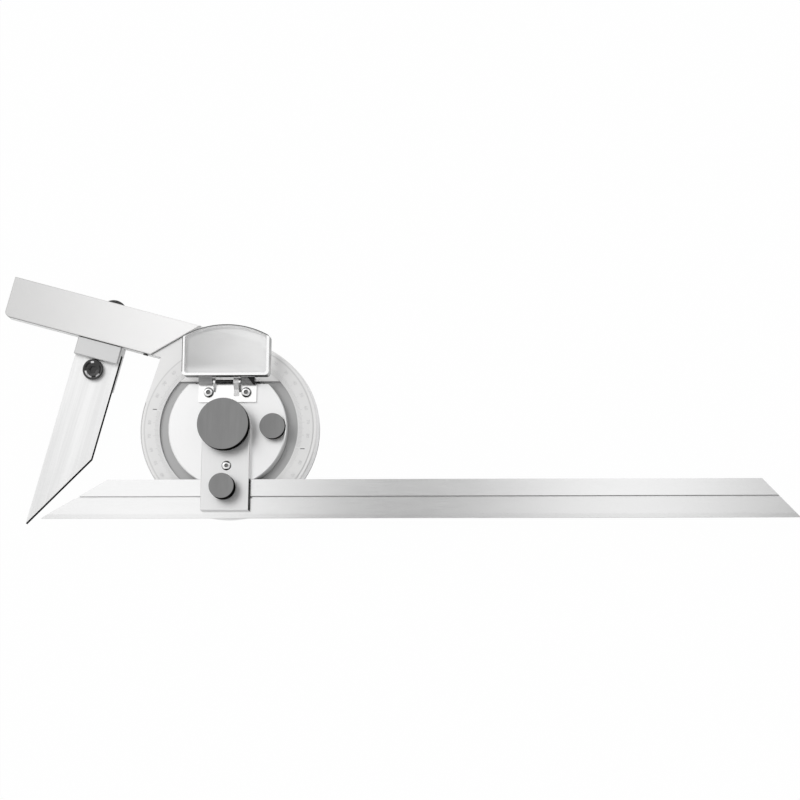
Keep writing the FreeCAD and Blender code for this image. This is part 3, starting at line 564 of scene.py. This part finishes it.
def frameChrome(name, look):
    finish = newFinish(name)
    smear = finish.noise(finish.place(), look["smear"], 3)
    toArch = finish.radius(finish.place(centre=look["archCentre"]))
    x, y, _ = finish.parts(finish.place())
    # painted shade along the arch and the left side
    outline = toArch.between(*look["arch"]) + x.between(*look["leftX"]) * y.between(*look["leftY"])
    face = finish.blend(outline.upToOne(), grey(look["face"]), grey(look["outline"]))
    # painted shade on the outer walls
    right = finish.blend(y.between(*look["rightY"]), grey(look["rightLow"]), grey(look["rightHigh"]))
    front = finish.blend(x.between(*look["frontX"]), grey(look["frontLeft"]), grey(look["frontRight"]))
    outer = finish.blend(finish.facing()[0].between(*look["rightFacing"]), front, right)
    # painted light: the inner sides are pale
    inside = abs(x).between(*look["insideX"]) * y.between(*look["insideY"])
    wall = finish.blend(inside, outer, grey(look["inside"]))
    level = finish.level()
    inFrame = y.between(*look["barrelY"])
    speck = finish.noise(finish.place(), look["speck"], 3, 0.7).between(*look["speckContrast"])
    speck = speck * x.between(*look["speckX"]) * look["speckShare"]
    barrel = finish.mottled(smear, look["barrel"], look["barrelSpread"])
    barrel = finish.blend(speck, barrel, grey(look["speckShade"]))
    # painted shade: the black slant at the right barrel's end
    slant = (x + (y - look["slantY"]) * look["slantLean"]).between(*look["slant"])
    barrel = finish.blend(slant, barrel, grey(look["slantShade"]))
    return finish.surface({
        "Base Color": finish.blend(inFrame, barrel, finish.blend(level, wall, face)),
        "Metallic": level * inFrame * look["metal"],
        "Roughness": smear * look["smearRough"] + look["rough"],
        "Specular IOR Level": look["specular"]})


# painted shade: the knurled walls are near black
knobLook = {"shade": 0.28, "spread": (0.88, 1.12), "wall": 0.004, "steep": 0.9, "grain": 5000,
            "cloud": 90, "stretch": (6, 1, 1), "rings": 14000, "metal": 0.2, "rough": 0.42,
            "grainRough": 0.1, "cloudRough": 0.06, "bump": 0.004 * mm, "bumpStrength": 0.5}


def matteKnob(name, look, centre):
    finish = newFinish(name)
    place = finish.place(centre=centre)
    grain = finish.noise(place, look["grain"])
    cloud = finish.noise(finish.place(centre=centre, scale=look["stretch"]), look["cloud"], 3)
    rings = (finish.radius(place) * look["rings"]).sine() * 0.5 + 0.5
    face = finish.mottled(cloud, look["shade"], look["spread"])
    level = finish.level(look["steep"])
    return finish.surface({
        # painted shade on the walls
        "Base Color": finish.blend(level, grey(look["wall"]), face),
        "Metallic": level * look["metal"],
        "Roughness": grain * look["grainRough"] + cloud * look["cloudRough"] + look["rough"],
        "Specular IOR Level": 0.0,
        "Normal": finish.bump(rings * 0.5 + grain, look["bump"], look["bumpStrength"])})


oxideLook = {"dark": 0.010, "pale": 0.028, "grain": 3000, "cloud": 500, "metal": 0.6, "rough": 0.16,
             "grainRough": 0.14, "coat": 0.5, "coatRough": 0.08, "bump": 0.004 * mm, "bumpStrength": 0.4}


def oxideSurface(finish, look, colour):
    grain = finish.noise(finish.place(), look["grain"], 3)
    return finish.surface({
        "Base Color": colour,
        "Metallic": look["metal"],
        "Roughness": grain * look["grainRough"] + look["rough"],
        "Coat Weight": look["coat"], "Coat Roughness": look["coatRough"],
        "Normal": finish.bump(grain, look["bump"], look["bumpStrength"])})


def oxideColour(finish, look):
    cloud = finish.noise(finish.place(), look["cloud"])
    return finish.blend(cloud, grey(look["dark"]), grey(look["pale"]))


def blackOxide(name, look):
    finish = newFinish(name)
    return oxideSurface(finish, look, oxideColour(finish, look))


bronzeLook = {"dark": (0.50, 0.30, 0.14, 1), "pale": (0.66, 0.42, 0.20, 1), "grain": 2500, "metal": 0.95,
              "rough": 0.25, "grainRough": 0.15, "bump": 0.004 * mm, "bumpStrength": 0.4}


def bronzeFinish(name, look):
    finish = newFinish(name)
    grain = finish.noise(finish.place(), look["grain"], 3)
    return finish.surface({
        "Base Color": finish.blend(grain, look["dark"], look["pale"]), "Metallic": look["metal"],
        "Roughness": grain * look["grainRough"] + look["rough"],
        "Normal": finish.bump(grain, look["bump"], look["bumpStrength"])})


glassLook = {"leftShade": 0.64, "rightShade": 1.0, "sideX": (-15 * mm, 13.5 * mm),
             "lowY": (24.5 * mm, 21.5 * mm), "lowShare": 0.8, "crownFacing": (0.3, 0.6), "smear": 120,
             "smearRough": 0.03, "sheen": 0.54, "lowSheen": 0.2, "smearSheen": 0.06, "least": 0.02}


def clearGlass(name, look):                     # painted reflection: its crown is half opaque, darker at the left, lighter at the right and white low down, as where it mirrors the studio
    finish = newFinish(name)
    smear = finish.noise(finish.place(), look["smear"], 3)
    x, y, _ = finish.parts(finish.place())
    low = y.between(*look["lowY"]) * look["lowShare"]
    crown = finish.facing()[2].between(*look["crownFacing"])     # the flat back stays clear
    # painted reflection, darker at the left and white low down
    shade = finish.blend(x.between(*look["sideX"]), grey(look["leftShade"]), grey(look["rightShade"]))
    sheen = low * look["lowSheen"] + smear * look["smearSheen"] + look["sheen"]
    return finish.surface({"Base Color": finish.blend(low, shade, grey(1.0)),
                           "Roughness": smear * look["smearRough"],
                           "Alpha": crown * sheen + look["least"]})


inkLook = {"spread": (0.8, 1.2), "speck": 9000, "rough": 0.4, "speckRough": 0.2}


def inkFinish(name, shade):
    finish = newFinish(name)
    speck = finish.noise(finish.place(), inkLook["speck"])
    return finish.surface({"Base Color": finish.mottled(speck, shade, inkLook["spread"]),
                           "Roughness": speck * inkLook["speckRough"] + inkLook["rough"]})


slotFinishes = {
    "dial_chrome": satinChrome("dialChrome", dialLook),
    "bright_chrome": turnedMetal("brightChrome", discLook),
    "blade_steel": groundSteel("bladeSteel", bladeLook),
    "gear_steel": turnedMetal("gearSteel", gearLook),
    "polished_steel": polishedMetal("polishedSteel", polishLook),
    "frame_chrome": frameChrome("frameChrome", frameLook),
    "knob_grey": matteKnob("knobGrey", knobLook, (0, 0, 0)),
    "black_oxide": blackOxide("blackOxide", oxideLook),
    "bronze": bronzeFinish("bronze", bronzeLook),
    "lens_glass": clearGlass("lensGlass", glassLook),
}
nodeFinishes = {
    "base_body": bodyChrome("bodyChrome", bodyLook),
    "attachment_leg": legSteel("legSteel", legLook),
    "attachment_holder": holderChrome("holderChrome", holderLook),
    "swivel_arm": armChrome("armChrome", armLook),
    "magnifier_bracket": satinChrome("bracketChrome", bracketLook),
    "hinge_spring": satinChrome("springSteel", springLook),
}
markInk = inkFinish("markInk", 0.46)
numberInk = inkFinish("numberInk", 0.60)
indexInk = inkFinish("indexInk", 0.03)

for row in frame["record"]["subparts"]:
    node = frame["nodes"][row["node"]]
    node.data.materials.clear()
    node.data.materials.append(nodeFinishes.get(row["node"]) or slotFinishes[row["material_slot"]])
print("finishes given to", len(frame["nodes"]), "nodes")


# pieces

sharpFrom = math.radians(30)


def newPiece(name, bm, body, material, nodes=()):
    bmesh.ops.recalc_face_normals(bm, faces=bm.faces)
    mesh = bpy.data.meshes.new(name)
    bm.to_mesh(mesh)
    bm.free()
    mesh.shade_smooth()
    mesh.set_sharp_from_angle(angle=sharpFrom)
    mesh.materials.append(material)
    piece = bpy.data.objects.new(name, mesh)
    bpy.context.scene.collection.objects.link(piece)
    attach(piece, body)
    if nodes:
        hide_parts(*nodes)
    print("piece made:", name, len(mesh.polygons), "faces")


def rounded(radius, height, size, start, end, count=5):     # an arc of a profile, in mm and degrees
    angles = [math.radians(start + (end - start) * i / count) for i in range(count + 1)]
    return [(radius + size * math.cos(a), height + size * math.sin(a)) for a in angles]


def turned(bm, profile, steps, centre):         # a profile in mm spun about an upright axis
    new = bmesh.new()
    verts = [new.verts.new((radius * mm, 0, height * mm)) for radius, height in profile]
    edges = [new.edges.new(pair) for pair in zip(verts, verts[1:])]
    bmesh.ops.spin(new, geom=verts + edges, cent=(0, 0, 0), axis=(0, 0, 1), angle=fullTurn,
                   steps=steps, use_merge=True)
    bmesh.ops.remove_doubles(new, verts=new.verts, dist=0.0005 * mm)
    return addTo(bm, new, Matrix.Translation(centre))


def addTo(bm, new, place):                      # puts one shape into another, at its place
    holder = bpy.data.meshes.new("holder")
    bmesh.ops.transform(new, matrix=place, verts=new.verts)
    new.to_mesh(holder)
    new.free()
    start = len(bm.verts)
    bm.from_mesh(holder)
    bpy.data.meshes.remove(holder)
    bm.verts.ensure_lookup_table()
    return bm.verts[start:]


def notched(verts, centre, radius, teeth, depth):           # every second line of a rim goes in
    for vert in verts:
        away = (vert.co - centre).xy
        if away.length > radius - 0.01 * mm:
            step = round((math.atan2(away.y, away.x) % fullTurn) / fullTurn * teeth * 2)
            if step % 2:
                vert.co.xy = centre.xy + away * (1 - depth / radius)


def sixSided(verts, centre, radius):            # the ring at this radius becomes a hexagon
    sixth = fullTurn / 6
    for vert in verts:
        away = (vert.co - centre).xy
        if abs(away.length - radius) < 0.01 * mm:
            angle = math.atan2(away.y, away.x) % sixth - sixth / 2
            vert.co.xy = centre.xy + away * (math.cos(sixth / 2) / math.cos(angle))


def standing(node):                             # a node's middle at its lowest level, and its height
    low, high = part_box(node)
    return Vector(((low.x + high.x) / 2, (low.y + high.y) / 2, low.z)), (high.z - low.z) / mm


# knobs with a straight knurl

knobs = {
    "dial_clamp_knob": {"body": "dial_knob", "radius": 10.2, "hub": 6.0, "hubHeight": 2.6, "teeth": 90,
                        "notch": 0.16, "chamfer": 0.25, "dish": 0.05},
    "fine_knob": {"body": "fine_drive", "radius": 5.05, "hub": 3.6, "hubHeight": 0.6, "teeth": 56,
                  "notch": 0.14, "chamfer": 0.2, "dish": 0.04},
    "blade_clamp_knob": {"body": "clamp_knob", "radius": 5.0, "hub": 3.3, "hubHeight": 1.9, "teeth": 56,
                         "notch": 0.14, "chamfer": 0.2, "dish": 0.04},
}


def makeKnob(name, knob):
    centre, height = standing(name)
    radius, chamfer, face = knob["radius"], knob["chamfer"], height - knob["dish"]
    profile = [(0, 0), (knob["hub"], 0), (knob["hub"], knob["hubHeight"]),
               (radius - chamfer, knob["hubHeight"]), (radius, knob["hubHeight"] + chamfer),
               (radius, height - chamfer)]
    profile += rounded(radius - chamfer, height - chamfer, chamfer, 30, 90, 3)
    profile += [(radius - 3 * chamfer, face), (0, face)]
    bm = bmesh.new()
    verts = turned(bm, profile, knob["teeth"] * 2, centre)
    notched(verts, centre, radius * mm, knob["teeth"], knob["notch"] * mm)
    finish = matteKnob(name + "Finish", knobLook, centre)
    newPiece(name + "_turned", bm, knob["body"], finish, [name])


for name, knob in knobs.items():
    makeKnob(name, knob)


# screws: sizes in mm, "seat" is the height of the face that the head stands on

screwForm = {"steps": 48, "domeSteps": 5, "floorRadius": 0.9, "floorEdge": 0.8}
bracketScrew = {"radius": 2.0, "flat": 1.15, "socket": 0.95, "depth": 0.8, "dome": 0.75, "seat": 14.9,
                "shank": 1.2, "shade": 0.85, "apart": 7.5, "y": 13.8}
armScrew = {"radius": 1.9, "flat": 1.05, "socket": 0.85, "depth": 0.8, "dome": 0.75, "seat": 16.1,
            "shank": 1.2, "shade": 0.90}
headLook = {"spread": (0.9, 1.05), "smear": 900, "rough": 0.08, "smearRough": 0.08, "dark": 0.04,
            "socketShare": 0.85, "socketSoft": 0.1, "reach": (0.6, 0.5), "rim": (-0.55, -0.25),
            "below": (-1.0 * mm, 1.4 * mm), "belowShare": 0.8}


def screwShape(bm, screw, centre, bottom, top):     # heights in mm over the centre
    radius, socket, flat, floor = screw["radius"], screw["socket"], screw["flat"], top - screw["depth"]
    profile = [(0, floor), (socket * screwForm["floorRadius"], floor),
               (socket, top - screw["depth"] * screwForm["floorEdge"]), (socket, top), (flat, top)]
    for i in range(screwForm["domeSteps"]):
        a = math.radians(90 * (i + 1) / screwForm["domeSteps"])
        profile.append((flat + (radius - flat) * math.sin(a), top - screw["dome"] * (1 - math.cos(a))))
    profile += [(radius, screw["seat"]), (screw["shank"], screw["seat"]), (screw["shank"], bottom),
                (0, bottom)]
    verts = turned(bm, profile, screwForm["steps"], centre)
    sixSided(verts, centre, socket * mm)


def headSteel(name, places, screw):             # polished heads; dark sockets and lower rims are painted shade
    finish = newFinish(name)
    smear = finish.noise(finish.place(), headLook["smear"], 3)

    def edge(radius, first, second):            # two radii in mm
        return radius.between(first * mm, second * mm)

    # painted shade in the socket and on the lower rim
    def darkness(x, y):
        place = finish.place(centre=(x * mm, y * mm, 0))
        across, along, _ = finish.parts(place)
        radius = finish.radius(place)
        near, rim = [edge(radius, *(screw["radius"] + reach for reach in headLook[key]))
                     for key in ("reach", "rim")]
        socket = edge(radius, screw["socket"], screw["socket"] - headLook["socketSoft"])
        below = (across * 0.6 - along * 0.8).between(*headLook["below"]) * headLook["belowShare"]
        return rim * (below + (1 - headLook["belowShare"])) * near + socket * headLook["socketShare"]

    dark = sum(darkness(x, y) for x, y in places)
    face = finish.mottled(smear, screw["shade"], headLook["spread"])
    return finish.surface({"Base Color": finish.blend(dark.upToOne(), face, grey(headLook["dark"])),
                           "Metallic": 1.0,
                           "Roughness": smear * headLook["smearRough"] + headLook["rough"]})


def makeBracketScrews():
    bm = bmesh.new()
    low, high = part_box("bracket_screws")
    places = [(side * bracketScrew["apart"], bracketScrew["y"]) for side in (-1, 1)]
    for x, y in places:
        screwShape(bm, bracketScrew, Vector((x * mm, y * mm, 0)), low.z / mm, high.z / mm)
    steel = headSteel("bracketScrewSteel", places, bracketScrew)
    newPiece("bracket_screw_heads", bm, "turret", steel, ["bracket_screws"])


def makeArmScrew():
    bm = bmesh.new()
    centre, height = standing("arm_screw")
    bottom = centre.z / mm
    centre.z = 0
    screwShape(bm, armScrew, centre, bottom, bottom + height)
    steel = headSteel("armScrewSteel", [(centre.x / mm, centre.y / mm)], armScrew)
    newPiece("arm_screw_head", bm, "turret", steel, ["arm_screw"])


makeBracketScrews()
makeArmScrew()


# graduations and numbers: sizes in mm, steps in degrees

dial = {"inner": 27.75, "single": 1.6, "five": 2.0, "ten": 2.4, "width": 0.07, "rise": 0.04,
        "numberRadius": 31.6, "numberSize": 1.7,
        "indexRadius": 30.6, "indexLength": 1.7, "indexWidth": 0.28}
vernier = {"outer": 27.3, "marks": 12, "step": 23 / 12, "single": 1.5, "three": 2.1, "width": 0.07,
           "rise": 0.04, "numberRadius": 23.6, "numberSize": 1.5, "labels": ["0", "30", "60"],
           "apart": 11.5}


def addMark(bm, angle, near, length, width, rise, height):
    place = (Matrix.Rotation(math.radians(angle), 4, "Z")
             @ Matrix.Translation(((near + length / 2) * mm, 0, height))
             @ Matrix.Diagonal((length * mm, width * mm, rise * mm, 1)))
    bmesh.ops.create_cube(bm, size=1, matrix=place)


def lettering(label, size, rise):
    curve = bpy.data.curves.new("lettering", "FONT")
    curve.body, curve.size, curve.extrude = label, size * mm, rise / 2 * mm
    curve.align_x = curve.align_y = "CENTER"
    curve.resolution_u = 3
    holder = bpy.data.objects.new("lettering", curve)
    bpy.context.scene.collection.objects.link(holder)
    shape = holder.evaluated_get(bpy.context.evaluated_depsgraph_get())
    mesh = bpy.data.meshes.new_from_object(shape)
    bpy.data.objects.remove(holder)
    bm = bmesh.new()
    bm.from_mesh(mesh)
    bmesh.ops.remove_doubles(bm, verts=bm.verts, dist=0.001 * mm)
    return bm


def addLabel(bm, label, angle, radius, size, rise, height):
    turn = Matrix.Rotation(math.radians(angle), 4, "Z")
    place = turn @ Matrix.Translation((radius * mm, 0, height)) @ Matrix.Rotation(-math.pi / 2, 4, "Z")
    addTo(bm, lettering(label, size, rise), place)


def addIndex(bm, angle, height):                # a level dash, wherever on the ring it stands
    spot = Matrix.Rotation(math.radians(angle), 4, "Z") @ Vector((dial["indexRadius"] * mm, 0, height))
    size = Matrix.Diagonal((dial["indexLength"] * mm, dial["indexWidth"] * mm, dial["rise"] * mm, 1))
    bmesh.ops.create_cube(bm, size=1, matrix=Matrix.Translation(spot) @ size)


def makeDialMarks():
    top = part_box("scale_ring")[1].z
    marks, numbers, index = bmesh.new(), bmesh.new(), bmesh.new()
    for degree in range(360):
        angle = degree - math.degrees(stockTurn)
        length = dial["ten"] if degree % 10 == 0 else dial["five"] if degree % 5 == 0 else dial["single"]
        if degree % 180 == 0:
            addIndex(index, angle, top)
            continue
        addMark(marks, angle, dial["inner"], length, dial["width"], dial["rise"], top)
        if degree % 10 == 0:
            label = str(abs(degree % 180 - 90))
            addLabel(numbers, label, angle, dial["numberRadius"], dial["numberSize"], dial["rise"], top)
    newPiece("dial_marks", marks, "base", markInk)
    newPiece("dial_numbers", numbers, "base", numberInk)
    newPiece("dial_index_marks", index, "base", indexInk)


def makeVernierMarks():
    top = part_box("vernier_plate")[1].z
    bm = bmesh.new()
    for i in range(-vernier["marks"], vernier["marks"] + 1):
        length = vernier["three"] if i % 3 == 0 else vernier["single"]
        addMark(bm, 90 + i * vernier["step"], vernier["outer"] - length, length, vernier["width"],
                vernier["rise"], top)
    for i in range(-2, 3):
        addLabel(bm, vernier["labels"][abs(i)], 90 + i * vernier["apart"], vernier["numberRadius"],
                 vernier["numberSize"], vernier["rise"], top)
    newPiece("vernier_marks", bm, "turret", markInk)


makeDialMarks()
makeVernierMarks()


# leg screw: painted highlights make its cup bright in places

legScrew = {"radius": 4.15, "rim": 0.45, "cup": 3.2, "cupDepth": 0.55, "cupSlope": 0.5, "lip": 0.1,
            "socket": 1.5, "socketDepth": 1.6, "socketLip": 0.15, "seat": 7.0, "shank": 2.4, "steps": 96}
highlightLook = {**oxideLook, "pale": 0.035, "cloud": 700, "rough": 0.18, "bright": 0.85,
            "highlights": [(-135, 32), (-50, 12), (95, 8)],       # bearing and half width in degrees
            "soft": 6, "inner": (-0.65, -0.4), "outer": (0.15, 0.0)}


def wornOxide(name, look, centre):
    finish = newFinish(name)
    place = finish.place(centre=centre)
    x, y, _ = finish.parts(place)
    radius = finish.radius(place)
    inner, outer = [[(legScrew["cup"] + reach) * mm for reach in look[key]]
                    for key in ("inner", "outer")]

    def patch(bearing, half):
        way = math.radians(bearing)
        lean = (x * math.cos(way) + y * math.sin(way)) / radius
        return lean.between(math.cos(math.radians(half + look["soft"])), math.cos(math.radians(half)))

    # painted highlights on the cup's slope
    bright = sum(patch(*spot) for spot in look["highlights"])
    slope = radius.between(*inner) * radius.between(*outer)
    return oxideSurface(finish, look, finish.blend(bright * slope, oxideColour(finish, look),
                                                   grey(look["bright"])))


def makeLegScrew():
    low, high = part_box("leg_screw")
    centre = Vector(((low.x + high.x) / 2, (low.y + high.y) / 2, 0))
    top, bottom = high.z / mm, low.z / mm
    radius, rim, socket, cup = [legScrew[key] for key in ("radius", "rim", "socket", "cup")]
    floor = top - legScrew["cupDepth"]
    profile = [(0, top - legScrew["socketDepth"]), (socket, top - legScrew["socketDepth"]),
               (socket, floor - legScrew["lip"]), (socket + legScrew["socketLip"], floor),
               (cup - legScrew["cupSlope"], floor), (cup, top - legScrew["lip"])]
    profile += rounded(radius - rim, top - rim, rim, 90, 0)
    profile += [(radius, legScrew["seat"]), (legScrew["shank"], legScrew["seat"]),
                (legScrew["shank"], bottom), (0, bottom)]
    bm = bmesh.new()
    verts = turned(bm, profile, legScrew["steps"], centre)
    sixSided(verts, centre, socket * mm)
    newPiece("leg_screw_head", bm, "attachment", wornOxide("wornOxide", highlightLook, centre),
             ["leg_screw"])


makeLegScrew()


# lens: a crowned clear top with a narrow bevel round it, sizes in mm

lens = {"archRadius": 34.78, "archCentre": 4.6, "crownRadius": 85.0,
        "inset": 0.15, "border": 0.12, "columns": 36, "rows": 22}


def makeLens():
    low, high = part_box("magnifier_lens")
    half, middle = high.x / mm, (low.y + high.y) / 2 / mm

    def spot(u, v, inset):                      # u and v from 0 to 1 over the lens's outline
        x = (2 * u - 1) * (half - inset)
        arch = math.sqrt((lens["archRadius"] - inset) ** 2 - x * x) + lens["archCentre"]
        bottom = low.y / mm + inset
        return x, bottom + v * (arch - bottom)

    bm = bmesh.new()
    bmesh.ops.create_grid(bm, x_segments=lens["columns"], y_segments=lens["rows"], size=0.5)
    bmesh.ops.translate(bm, vec=(0.5, 0.5, 0), verts=bm.verts)
    border = [edge for edge in bm.edges if edge.is_boundary]
    made = bmesh.ops.extrude_edge_only(bm, edges=border)["geom"]
    outer = {v for v in made if isinstance(v, bmesh.types.BMVert)}
    crown = high.z / mm - lens["crownRadius"]
    for vert in bm.verts:                       # the outermost row is the bevel's foot
        x, y = spot(vert.co.x, vert.co.y, 0 if vert in outer else lens["inset"])
        reach = math.hypot(x, y - middle)
        z = crown + math.sqrt(lens["crownRadius"] ** 2 - reach ** 2)
        vert.co = Vector((x, y, z - (lens["border"] if vert in outer else 0))) * mm
    rim = [edge for edge in bm.edges if edge.is_boundary]
    for part in bmesh.ops.extrude_edge_only(bm, edges=rim)["geom"]:
        if isinstance(part, bmesh.types.BMVert):
            part.co.z = low.z
    bmesh.ops.holes_fill(bm, edges=[edge for edge in bm.edges if edge.is_boundary], sides=0)
    newPiece("lens_crowned", bm, "magnifier", slotFinishes["lens_glass"],
             ["magnifier_lens"])


makeLens()
